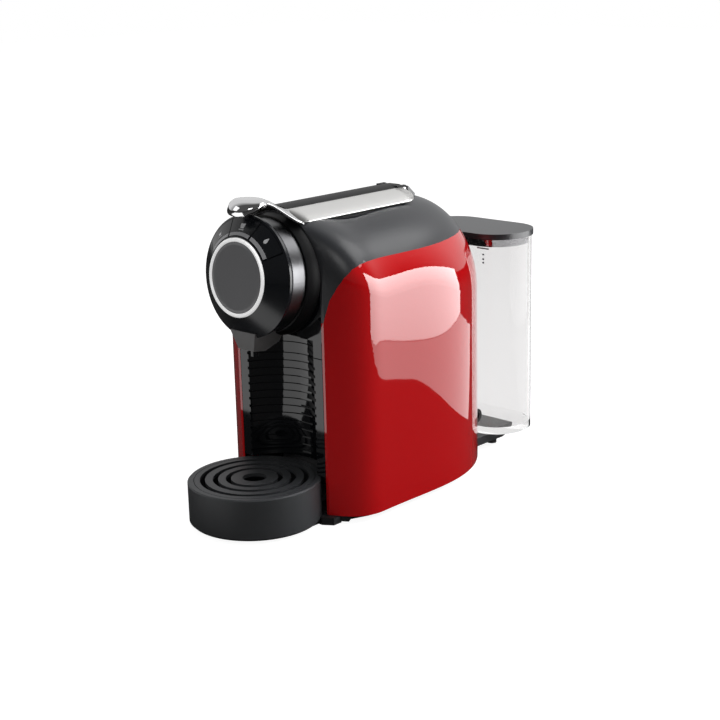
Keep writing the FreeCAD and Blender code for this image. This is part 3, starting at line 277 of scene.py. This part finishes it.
def cast_aluminium():
    material, tree, shader = new_material("cast_aluminium")
    shader.inputs["Base Color"].default_value = (0.62, 0.63, 0.64, 1.0)
    shader.inputs["Metallic"].default_value = 1.0
    grains = add_noise(tree, 500.0, 4.0)
    tree.links.new(add_range(tree, grains, 0.35, 0.6), shader.inputs["Roughness"])
    add_bump(tree, shader, grains, 0.25, 0.3 * MM)
    return material


def clear_plastic():
    material, tree, shader = new_material("clear_plastic")
    shader.inputs["Base Color"].default_value = (0.8, 0.795, 0.795, 1.0)
    shader.inputs["Transmission Weight"].default_value = 1.0
    shader.inputs["IOR"].default_value = 1.18
    haze = add_noise(tree, 25.0, 3.0)
    tree.links.new(add_range(tree, haze, 0.0, 0.03), shader.inputs["Roughness"])
    return material


def icon_grey():
    return moulded("icon_grey", (0.5, 0.5, 0.51), 0.4)[0]


def lip_grey():
    return moulded("lip_grey", (0.3, 0.3, 0.31), 0.3)[0]


def mark_dark():
    return moulded("mark_dark", (0.08, 0.08, 0.085), 0.5)[0]


FINISHES = {
    red_gloss: ["right_side_shell", "left_side_shell"],
    satin_dark: ["top_cover", "tank_lid", "tank_dock", "hinge_fairing"],
    gloss_black: ["cup_niche_panel", "niche_hood", "front_plate", "spout_nozzle", "power_rocker"],
    drum_black: ["dial_drum", "button_left", "button_middle", "button_right"],
    core_black: ["lever_core"],
    neck_satin: ["neck_ring"],
    pearl_ring_painted_glow: ["dial_ring"],
    dark_chrome: ["lid_rim_band"],
    satin_silver: ["lever_arms"],
    disc_satin: ["dial_disc"],
    tray_matt: ["drip_tray", "drip_grille"],
    spout_grey: ["spout"],
    base_matt: ["base_chassis", "rear_panel"],
    inner_matt: ["drawer_sled", "capsule_bin", "carriage", "capsule_chute", "inner_frame", "flow_meter",
                 "tank_valve", "switch_housing", "button_switches"],
    foot_rubber: ["rubber_feet", "injector_seal", "pump_cradle", "cord_gland"],
    hose_silicone: ["link_hose", "inlet_hose", "pressure_hose"],
    board_lacquer: ["control_board"],
    plain_steel: ["case_screws", "lever_pin", "crank_pin", "injector_plate", "thermostat", "pump"],
    cast_aluminium: ["brew_cup", "thermoblock"],
    clear_plastic: ["water_tank"],
}


def dress_nodes():
    """Give every node the finish that lists it."""
    for finish, names in FINISHES.items():
        material = finish()
        for name in names:
            mesh = nodes[name].data
            mesh.materials.clear()
            mesh.materials.append(material)


dress_nodes()


# Mesh helpers

SMOOTH_ANGLE = math.radians(35.0)
MERGE_DISTANCE = 0.005 * MM


def finish_of(name):
    """The material that a node was dressed in."""
    return nodes[name].data.materials[0]


def add_object(name, form):
    """Turn a bmesh into an object of the scene."""
    mesh = bpy.data.meshes.new(name)
    form.to_mesh(mesh)
    form.free()
    thing = bpy.data.objects.new(name, mesh)
    scene.collection.objects.link(thing)
    return thing


def add_piece(name, form, material, body):
    """Turn a bmesh into a finished piece that rides on a body."""
    bmesh.ops.recalc_face_normals(form, faces=form.faces)
    piece = add_object(name, form)
    piece.data.materials.append(material)
    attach(piece, body)
    return piece


def copied_form(name):
    """A merged copy of a node's mesh."""
    form = bmesh.new()
    form.from_mesh(nodes[name].data)
    bmesh.ops.remove_doubles(form, verts=form.verts, dist=MERGE_DISTANCE)
    return form


def bridge(form, near, far):
    """Faces between two closed rows of points."""
    for index in range(len(near)):
        after = (index + 1) % len(near)
        form.faces.new((near[index], near[after], far[after], far[index]))


def add_slab(form, lower, upper):
    """A closed slab between two outlines with the same number of points."""
    low = [form.verts.new(point) for point in lower]
    high = [form.verts.new(point) for point in upper]
    form.faces.new(high)
    form.faces.new(reversed(low))
    bridge(form, low, high)


def smooth_faces(piece):
    for face in piece.data.polygons:
        face.use_smooth = True


def shade_smooth(piece):
    """Smooth shading that keeps the sharp edges."""
    smooth_faces(piece)
    piece.data.set_sharp_from_angle(angle=SMOOTH_ANGLE)


def give_wall(piece, thickness, offset):
    """Turn a piece modelled as a sheet into a smooth one with a wall."""
    smooth_faces(piece)
    wall = piece.modifiers.new("wall", "SOLIDIFY")
    wall.thickness = thickness
    wall.offset = offset


# Small pieces on the dial head

DIAL_TILT = math.radians(5.0)
DIAL_BASE = Vector((0.0, -97.5, 199.3)) * MM
RIM_RADIUS, RIM_HEIGHT = 48.3 * MM, 32.3 * MM
FACE_RADIUS, FACE_HEIGHT = 31.2 * MM, 43.0 * MM
BUTTON_MIDDLE = 40.0 * MM
SUNK, PROUD = -0.2 * MM, 0.25 * MM
BUTTON_TURN = {"left": math.radians(-40.0), "middle": 0.0, "right": math.radians(40.0)}
LIP_INNER, LIP_OUTER = 32.9 * MM, 35.4 * MM
LIP_HALF_SPAN = math.radians(18.4)
LIP_STEPS = 10
dial_frame = Matrix.Translation(DIAL_BASE) @ Matrix.Rotation(math.pi / 2 - DIAL_TILT, 4, "X")


def on_bevel(radius, turn, lift):
    """A point on the bevelled face; turn 0 is the top of the dial."""
    slope = (FACE_HEIGHT - RIM_HEIGHT) / (RIM_RADIUS - FACE_RADIUS)
    height = RIM_HEIGHT + (RIM_RADIUS - radius) * slope + lift
    return dial_frame @ Vector((radius * math.sin(turn), radius * math.cos(turn), height))


def bevel_slab(form, outline):
    """A slab on the bevel from (radius, turn) points, sunk a little and standing slightly proud."""
    lower = [on_bevel(*point, SUNK) for point in outline]
    upper = [on_bevel(*point, PROUD) for point in outline]
    add_slab(form, lower, upper)


def bevel_strip(form, turns, inner, outer):
    """A curved strip on the bevel between two radii, closed all round."""
    corners = ((inner, SUNK), (outer, SUNK), (outer, PROUD), (inner, PROUD))
    rows = [[form.verts.new(on_bevel(radius, turn, lift)) for radius, lift in corners] for turn in turns]
    for near, far in zip(rows, rows[1:]):
        bridge(form, near, far)
    form.faces.new(rows[0])
    form.faces.new(rows[-1])


def icon_outline(turn, points):
    """Icon points across and up, in millimetres, laid on the bevel around a turn."""
    return [(BUTTON_MIDDLE + up * MM, turn + across * MM / BUTTON_MIDDLE) for across, up in points]


def cup_icon(wide, high):
    """A cup seen from the side, with a saucer below it."""
    foot = wide * 0.75
    saucer_rim = wide * 1.2
    saucer_top = -high - 0.6
    saucer_foot = -high - 1.2
    cup = [(-wide, high), (-foot, -high), (foot, -high), (wide, high)]
    saucer = [(-saucer_rim, saucer_top), (-saucer_rim, saucer_foot), (saucer_rim, saucer_foot),
              (saucer_rim, saucer_top)]
    return [cup, saucer]


def drop_icon(radius):
    """A drop: a round foot drawn up to a point."""
    angles = [math.radians(150 + 240 * step / 8) for step in range(9)]
    foot = [(radius * math.cos(angle), radius * math.sin(angle)) for angle in angles]
    return [foot + [(0.0, radius * 2.0)]]


def make_button_marks():
    """A pale icon and a grey inner lip on each button."""
    icon_paint = icon_grey()
    lip_paint = lip_grey()
    icons = {"left": cup_icon(1.8, 1.2), "middle": cup_icon(2.4, 1.8), "right": drop_icon(1.6)}
    for side, turn in BUTTON_TURN.items():
        form = bmesh.new()
        for points in icons[side]:
            bevel_slab(form, icon_outline(turn, points))
        add_piece(side + "_icon", form, icon_paint, side + "_button")
        form = bmesh.new()
        start = turn - LIP_HALF_SPAN
        turns = [start + 2 * LIP_HALF_SPAN * step / LIP_STEPS for step in range(LIP_STEPS + 1)]
        bevel_strip(form, turns, LIP_INNER, LIP_OUTER)
        add_piece(side + "_lip", form, lip_paint, side + "_button")


# Dial disc with a flat middle

DISC_FLAT_RADIUS = 18.0 * MM
DISC_DROP = 0.3 * MM
DISC_CROWN = 2.0 * MM
FLAT_ANGLE = math.radians(1.0)


def make_flat_disc():
    """The dial disc with its crown pressed flat, a little below the rim."""
    form = copied_form("dial_disc")
    to_dial = dial_frame.inverted()
    points = [to_dial @ corner.co for corner in form.verts]
    level = max(point.z for point in points if point.xy.length > DISC_FLAT_RADIUS) - DISC_DROP
    flattened = []
    for corner in form.verts:
        point = to_dial @ corner.co
        if point.xy.length < DISC_FLAT_RADIUS and point.z > level - DISC_CROWN:
            point.z = level
            corner.co = dial_frame @ point
            flattened.append(corner)
    chosen = set(flattened)
    edges = [edge for edge in form.edges if chosen.intersection(edge.verts)]
    bmesh.ops.dissolve_limit(form, angle_limit=FLAT_ANGLE, verts=flattened, edges=edges)
    disc = add_piece("flat_disc", form, finish_of("dial_disc"), "machine")
    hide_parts("dial_disc")


# Collar round the neck, as radius and height along the dial's axis in millimetres

COLLAR_PROFILE = [(45.3, 12.5), (46.6, 12.2), (48.0, 9.0), (49.0, 5.0), (49.3, 0.3), (45.3, 0.3)]
COLLAR_TURNS = 96


def make_neck_collar():
    """A satin black collar between the front plate and the bright part of the neck."""
    form = bmesh.new()
    rows = []
    for turn in range(COLLAR_TURNS):
        angle = 2 * math.pi * turn / COLLAR_TURNS
        spoke = Vector((math.sin(angle), math.cos(angle), 0.0))
        points = [spoke * radius + Vector((0.0, 0.0, height)) for radius, height in COLLAR_PROFILE]
        rows.append([form.verts.new(dial_frame @ (point * MM)) for point in points])
    for near, far in zip(rows, rows[1:] + rows[:1]):
        bridge(form, near, far)
    collar = add_piece("neck_collar", form, finish_of("lever_core"), "machine")
    shade_smooth(collar)


# Lever: polished spoon in front of the satin arms, in millimetres

SPOON_CENTRE_Y = -125.5
SPOON_HALF_WIDTH = 16.5
SPOON_HALF_DEPTH = 14.5
SPOON_TOP = 262.0
SPOON_LIP = 12.5
SPOON_FLAT_SHARE = 0.4
SPOON_REAR_FALL = 0.28
SPOON_ROLL_LIMIT = 0.995
SPOON_RINGS, SPOON_SPOKES = 10, 48
SPOON_WALL = 1.6
ARM_END = -97.0
BAND_STEPS, BAND_ACROSS = 14, 4
BAND_OUTER_START, BAND_OUTER_MOVE = (32.5, ARM_END, 242.0), (-17.5, -24.0, 17.0)
BAND_INNER_START, BAND_INNER_MOVE = (13.0, ARM_END, 251.3), (-5.0, -20.0, 9.6)
CROWN_Z = 199.3
CROWN_RADIUS = 53.8
ARM_INNER, ARM_OUTER = 12.6, 31.0
ARM_REAR = 38.5
ARM_CORNER = 9.0
ARM_WALL = 1.9
ARM_ALONG, ARM_ACROSS = 12, 16


def spoon_height(x, y):
    """Flat in the middle, rolling over to the rim, furthest at the front lip."""
    across = x / SPOON_HALF_WIDTH
    along = (SPOON_CENTRE_Y - y) / SPOON_HALF_DEPTH
    share = math.hypot(across, along)
    front = max(0.0, along) / max(share, 0.001)
    roll = max(0.0, share - SPOON_FLAT_SHARE) / (1.0 - SPOON_FLAT_SHARE) * SPOON_ROLL_LIMIT
    fall = SPOON_LIP * (SPOON_REAR_FALL + (1.0 - SPOON_REAR_FALL) * front)
    return SPOON_TOP - fall * (1.0 - math.sqrt(1.0 - roll ** 2))


def add_dome(form):
    """The round spoon, as a sheet of rings about its middle."""
    rows = []
    for ring in range(1, SPOON_RINGS + 1):
        share = ring / SPOON_RINGS
        row = []
        for spoke in range(SPOON_SPOKES):
            angle = 2 * math.pi * spoke / SPOON_SPOKES
            x = SPOON_HALF_WIDTH * share * math.cos(angle)
            y = SPOON_CENTRE_Y + SPOON_HALF_DEPTH * share * math.sin(angle)
            row.append(form.verts.new(Vector((x, y, spoon_height(x, y))) * MM))
        rows.append(row)
    middle = form.verts.new(Vector((0.0, SPOON_CENTRE_Y, spoon_height(0.0, SPOON_CENTRE_Y))) * MM)
    for spoke in range(SPOON_SPOKES):
        after = (spoke + 1) % SPOON_SPOKES
        form.faces.new((middle, rows[0][spoke], rows[0][after]))
        for inner, outer in zip(rows, rows[1:]):
            form.faces.new((inner[spoke], outer[spoke], outer[after], inner[after]))


def band_edge(start, move, share):
    """A point on an edge of the band: steady to the front, S-shaped inwards and up."""
    bend = share * share * (3.0 - 2.0 * share)
    return Vector((start[0] + move[0] * bend, start[1] + move[1] * share, start[2] + move[2] * bend))


def add_band(form, side):
    """An S-shaped band from the front of an arm up to the side of the spoon."""
    rows = []
    for step in range(BAND_STEPS + 1):
        share = step / BAND_STEPS
        outer = band_edge(BAND_OUTER_START, BAND_OUTER_MOVE, share)
        inner = band_edge(BAND_INNER_START, BAND_INNER_MOVE, share)
        points = [outer.lerp(inner, place / BAND_ACROSS) for place in range(BAND_ACROSS + 1)]
        rows.append([form.verts.new(Vector((side * point.x, point.y, point.z)) * MM) for point in points])
    for near, far in zip(rows, rows[1:]):
        for place in range(BAND_ACROSS):
            form.faces.new((near[place], near[place + 1], far[place + 1], far[place]))


def make_spoon():
    """The finger spoon with the two bands that carry it."""
    form = bmesh.new()
    add_dome(form)
    for side in (1, -1):
        add_band(form, side)
    spoon = add_piece("lever_spoon", form, spoon_chrome(), "lever")
    give_wall(spoon, SPOON_WALL * MM, 0.0)


def arm_edge(x):
    """Rear end of an arm: square inside, rounded at the outer corner."""
    into = max(0.0, x - (ARM_OUTER - ARM_CORNER))
    return ARM_REAR - ARM_CORNER + math.sqrt(max(0.0, ARM_CORNER ** 2 - into ** 2))


def add_arm(form, side):
    """A thin band that lies on the round back of the lever."""
    rows = []
    for place in range(ARM_ACROSS + 1):
        x = ARM_INNER + (ARM_OUTER - ARM_INNER) * math.sin(math.pi / 2 * place / ARM_ACROSS)
        z = CROWN_Z + math.sqrt(CROWN_RADIUS ** 2 - x ** 2)
        reach = arm_edge(x) - ARM_END
        stops = [ARM_END + reach * step / ARM_ALONG for step in range(ARM_ALONG + 1)]
        rows.append([form.verts.new(Vector((side * x, y, z)) * MM) for y in stops])
    for near, far in zip(rows, rows[1:]):
        for step in range(ARM_ALONG):
            corners = (near[step], near[step + 1], far[step + 1], far[step])
            form.faces.new(corners if side < 0 else reversed(corners))


def make_arm_pair():
    """The two satin bands along the lever, in place of the plain solid arms."""
    form = bmesh.new()
    for side in (1, -1):
        add_arm(form, side)
    pair = add_piece("lever_arm_pair", form, finish_of("lever_arms"), "lever")
    give_wall(pair, ARM_WALL * MM, -1.0)
    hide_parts("lever_arms")


# Hinge fairing and base: copies of the solids with a small change of form

FAIRING_CUT = Vector((0.0, 46.6, 252.4)) * MM
FAIRING_SLOPE = (0.0, 0.66, 0.75)
PLATE_TOP = 6.9 * MM
PLATE_FRONT = -88.0 * MM
PLATE_DRAW_X, PLATE_DRAW_Y = 0.9, 0.93


def make_low_fairing():
    """The hinge fairing, its block sloped down to the roof behind the lugs."""
    form = copied_form("hinge_fairing")
    everything = form.verts[:] + form.edges[:] + form.faces[:]
    cut = bmesh.ops.bisect_plane(form, geom=everything, plane_co=FAIRING_CUT, plane_no=FAIRING_SLOPE,
                                 clear_outer=True)
    rim = [item for item in cut["geom_cut"] if isinstance(item, bmesh.types.BMEdge)]
    bmesh.ops.holes_fill(form, edges=rim, sides=0)
    fairing = add_piece("low_fairing", form, finish_of("hinge_fairing"), "machine")
    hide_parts("hinge_fairing")


def make_recessed_base():
    """The base plate drawn in under the shells, so that the red edge floats over its shadow."""
    form = copied_form("base_chassis")
    for corner in form.verts:
        if corner.co.z < PLATE_TOP and corner.co.y > PLATE_FRONT:
            corner.co.x *= PLATE_DRAW_X
            corner.co.y *= PLATE_DRAW_Y
    base = add_piece("recessed_base", form, finish_of("base_chassis"), "machine")
    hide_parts("base_chassis")


# Marks on the clear tank, in millimetres: (x, z) corners on the wall that faces the machine

TANK_WALL_Y = 121.5
MARK_SUNK, MARK_PROUD = 0.3, 0.05
FILL_LINE = ((27.0, 187.6), (40.0, 188.7))
DOT_LEVELS = (181.9, 177.8, 174.6)
DOT_SIDES = (33.0, 34.8)
DOT_HEIGHT = 1.4


def make_tank_marks():
    """A fill line and three dots."""
    form = bmesh.new()
    marks = [FILL_LINE]
    for level in DOT_LEVELS:
        marks.append(((DOT_SIDES[0], level), (DOT_SIDES[1], level + DOT_HEIGHT)))
    for low, high in marks:
        corners = [(low[0], low[1]), (high[0], low[1]), (high[0], high[1]), (low[0], high[1])]
        sunk = [Vector((x, TANK_WALL_Y + MARK_SUNK, z)) * MM for x, z in corners]
        proud = [Vector((x, TANK_WALL_Y - MARK_PROUD, z)) * MM for x, z in corners]
        add_slab(form, sunk, proud)
    add_piece("tank_marks", form, mark_dark(), "tank")


# Line between the red shells and the cover, as (y, z) in millimetres
# The front of the red side rises steeply and rounds over into the level line under the cover.

CHEEK_LINE = [(-98.5, 158.0), (-96.6, 172.8), (-95.0, 184.4), (-91.9, 195.4), (-88.8, 202.5), (-83.3, 208.6),
              (-76.0, 211.6), (-67.0, 212.4), (-58.0, 211.0)]
CHEEK_INSIDE = [(-58.0, 190.0), (-80.0, 150.0), (-98.5, 140.0)]
PRISM_HALF_WIDTH = 0.1


def make_cheek_prism():
    """A block as wide as the machine that holds the corner between the cheek line and the shells."""
    outline = [(y * MM, z * MM) for y, z in CHEEK_LINE + CHEEK_INSIDE]
    left = [(-PRISM_HALF_WIDTH, y, z) for y, z in outline]
    right = [(PRISM_HALF_WIDTH, y, z) for y, z in outline]
    form = bmesh.new()
    add_slab(form, left, right)
    bmesh.ops.recalc_face_normals(form, faces=form.faces)
    return add_object("cheek_prism", form)


def trimmed_cover(name, operation, cutter, material):
    """What is left of the cover after a cut with the cheek prism."""
    piece = add_piece(name, copied_form("top_cover"), material, "machine")
    cut = piece.modifiers.new("cheek", "BOOLEAN")
    cut.operation = operation
    cut.solver = "EXACT"
    cut.object = cutter
    bpy.context.view_layer.update()
    shaped = piece.evaluated_get(bpy.context.evaluated_depsgraph_get())
    finished = bpy.data.meshes.new_from_object(shaped)
    piece.modifiers.clear()
    piece.data = finished
    finished.materials.clear()
    finished.materials.append(material)
    shade_smooth(piece)
    return piece


def make_cheeks():
    """The red runs up to the cheek line: the cover gives up that corner to two red cheeks."""
    prism = make_cheek_prism()
    cover = trimmed_cover("trimmed_cover", "DIFFERENCE", prism, finish_of("top_cover"))
    cheeks = trimmed_cover("red_cheeks", "INTERSECT", prism, finish_of("right_side_shell"))
    bpy.data.objects.remove(prism)
    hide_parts("top_cover")


make_neck_collar()
make_cheeks()
make_button_marks()
make_arm_pair()
make_low_fairing()
make_spoon()
make_recessed_base()
make_flat_disc()
make_tank_marks()


# Studio: floor, world, mirror cards, soft boxes and camera

FLOOR_HALF_SIZE = 6.0
FLOOR_TONE, MIRRORED_FLOOR_TONE = 0.3, 0.05
FLOOR_GLOW = 0.93
WORLD_LEVEL = 0.25
BACKDROP_SIDE = (-0.66, 0.70, 0.27)
BACKDROP_START, BACKDROP_END = 0.1, 0.6
BACKDROP_LOW, BACKDROP_HIGH = 0.08, 0.7
CARD_RISE = 0.36


def grey(tone):
    return (tone, tone, tone, 1.0)


def seen_directly(tree, path):
    """1 for what the camera sees, also through the clear tank."""
    return add_math(tree, "MAXIMUM", path["Is Camera Ray"], path["Is Transmission Ray"])


def white_floor():
    """A pale floor that shows white to the camera, keeps a faint shadow and mirrors dark."""
    form = bmesh.new()
    bmesh.ops.create_grid(form, x_segments=1, y_segments=1, size=FLOOR_HALF_SIZE)
    floor = add_object("studio_floor", form)
    material, tree, output = bare_material("floor_white")
    path = tree.nodes.new("ShaderNodeLightPath").outputs
    matt = tree.nodes.new("ShaderNodeBsdfDiffuse")
    matt.inputs["Color"].default_value = grey(FLOOR_TONE)
    glow = tree.nodes.new("ShaderNodeEmission")
    glow.inputs["Color"].default_value = grey(1.0)
    level = add_math(tree, "MULTIPLY", seen_directly(tree, path), FLOOR_GLOW)
    tree.links.new(level, glow.inputs["Strength"])
    both = tree.nodes.new("ShaderNodeAddShader")
    tree.links.new(matt.outputs[0], both.inputs[0])
    tree.links.new(glow.outputs[0], both.inputs[1])
    dim = tree.nodes.new("ShaderNodeBsdfDiffuse")
    dim.inputs["Color"].default_value = grey(MIRRORED_FLOOR_TONE)
    mirrored = add_math(tree, "SUBTRACT", path["Is Glossy Ray"], path["Is Transmission Ray"], clamp=True)
    choice = tree.nodes.new("ShaderNodeMixShader")
    tree.links.new(mirrored, choice.inputs["Fac"])
    tree.links.new(both.outputs[0], choice.inputs[1])
    tree.links.new(dim.outputs[0], choice.inputs[2])
    tree.links.new(choice.outputs[0], output.inputs["Surface"])
    floor.data.materials.append(material)


def white_world():
    """Grey light from all round; camera and tank see white, mirrors a backdrop behind the machine."""
    world = bpy.data.worlds.new("studio_world")
    scene.world = world
    world.use_nodes = True
    tree = world.node_tree
    tree.nodes.clear()
    output = tree.nodes.new("ShaderNodeOutputWorld")
    sky = tree.nodes.new("ShaderNodeBackground")
    sky.inputs["Color"].default_value = grey(1.0)
    path = tree.nodes.new("ShaderNodeLightPath").outputs
    along = tree.nodes.new("ShaderNodeVectorMath")
    along.operation = "DOT_PRODUCT"
    along.inputs[1].default_value = BACKDROP_SIDE
    tree.links.new(tree.nodes.new("ShaderNodeTexCoord").outputs["Generated"], along.inputs[0])
    backdrop = add_range(tree, along.outputs["Value"], BACKDROP_LOW, BACKDROP_HIGH,
                         BACKDROP_START, BACKDROP_END)
    mirrored = tree.nodes.new("ShaderNodeMix")
    mirrored.inputs["A"].default_value = WORLD_LEVEL
    tree.links.new(path["Is Glossy Ray"], mirrored.inputs["Factor"])
    tree.links.new(backdrop, mirrored.inputs["B"])
    level = tree.nodes.new("ShaderNodeMix")
    level.inputs["B"].default_value = 1.0
    tree.links.new(seen_directly(tree, path), level.inputs["Factor"])
    tree.links.new(mirrored.outputs["Result"], level.inputs["A"])
    tree.links.new(level.outputs["Result"], sky.inputs["Strength"])
    tree.links.new(sky.outputs[0], output.inputs["Surface"])


def mirror_card(name, corners, low, high):
    """A bright sheet that only mirror reflections see; it brightens from low to high."""
    form = bmesh.new()
    form.faces.new([form.verts.new(corner) for corner in corners])
    card = add_object(name, form)
    material, tree, output = bare_material(name)
    glow = tree.nodes.new("ShaderNodeEmission")
    place = tree.nodes.new("ShaderNodeSeparateXYZ")
    tree.links.new(object_coordinates(tree), place.inputs[0])
    rise = add_range(tree, place.outputs["Z"], low, high, 0.0, CARD_RISE)
    tree.links.new(rise, glow.inputs["Strength"])
    tree.links.new(glow.outputs[0], output.inputs["Surface"])
    card.data.materials.append(material)
    card.visible_camera = False
    card.visible_diffuse = False
    card.visible_transmission = False
    card.visible_shadow = False


def soft_box(name, place, target, size, power, mirrored=False):
    """A rectangular lamp that looks at a point; few of them show in mirror reflections."""
    lamp = bpy.data.lights.new(name, "AREA")
    lamp.shape = "RECTANGLE"
    lamp.size, lamp.size_y = size
    lamp.energy = power
    holder = bpy.data.objects.new(name, lamp)
    place, target = Vector(place), Vector(target)
    aim = (target - place).to_track_quat("-Z", "Y").to_matrix().to_4x4()
    holder.matrix_world = Matrix.Translation(place) @ aim
    holder.visible_glossy = mirrored
    scene.collection.objects.link(holder)


CAMERA_PLACE = (0.8483, -0.8993, 0.4477)
CAMERA_AZIMUTH = math.radians(43.46)
CAMERA_ELEVATION = math.radians(15.42)
CAMERA_ROLL = math.radians(-1.40)
CAMERA_LENS, CAMERA_SENSOR = 75.0, 36.0


def photo_camera():
    """The camera that was fitted to the photograph."""
    data = bpy.data.cameras.new("photo_camera")
    data.sensor_width = CAMERA_SENSOR
    data.lens = CAMERA_LENS
    camera = bpy.data.objects.new("photo_camera", data)
    turn = (Matrix.Rotation(CAMERA_AZIMUTH, 4, "Z") @ Matrix.Rotation(math.pi / 2 - CAMERA_ELEVATION, 4, "X")
            @ Matrix.Rotation(CAMERA_ROLL, 4, "Z"))
    camera.matrix_world = Matrix.Translation(CAMERA_PLACE) @ turn
    scene.collection.objects.link(camera)
    scene.camera = camera


WINDOW_CORNERS = [(0.62, 0.12, 0.002), (0.245, 0.63, 0.002), (0.245, 0.63, 0.2), (0.62, 0.12, 0.42)]
FLOOR_CORNERS = [(0.62, 0.12, 0.001), (0.33, 0.25, 0.001), (0.08, 0.22, 0.001), (0.05, 0.6, 0.001),
                 (0.245, 0.63, 0.001)]
FRONT_CORNERS = [(-0.7, -1.0, 0.001), (0.1, -1.0, 0.001), (0.05, -0.26, 0.001), (-0.5, -0.26, 0.001)]
HIGH_CORNERS = [(1.3, 0.3, 0.95), (0.2, 1.4, 0.95), (0.1, 0.9, 1.5), (0.8, 0.2, 1.5)]
BODY_MIDDLE = (0.0, 0.0, 0.15)
BODY_LOW = (0.0, 0.0, 0.1)

white_floor()
white_world()
mirror_card("window_card", WINDOW_CORNERS, 4.0, 9.0)
mirror_card("floor_card", FLOOR_CORNERS, 1.7, 1.7)
mirror_card("front_card", FRONT_CORNERS, 1.3, 1.3)
mirror_card("high_card", HIGH_CORNERS, 3.0, 3.0)
soft_box("key_box", (0.9, 0.85, 1.05), BODY_MIDDLE, (0.9, 0.9), 22.0)
soft_box("front_box", (0.78, -0.93, 0.75), BODY_MIDDLE, (0.5, 0.4), 1.6, mirrored=True)
soft_box("left_box", (-1.0, -1.2, 0.8), BODY_MIDDLE, (0.7, 0.9), 2.5, mirrored=True)
soft_box("top_box", (0.0, 0.2, 1.5), BODY_LOW, (1.0, 1.0), 10.0)
photo_camera()
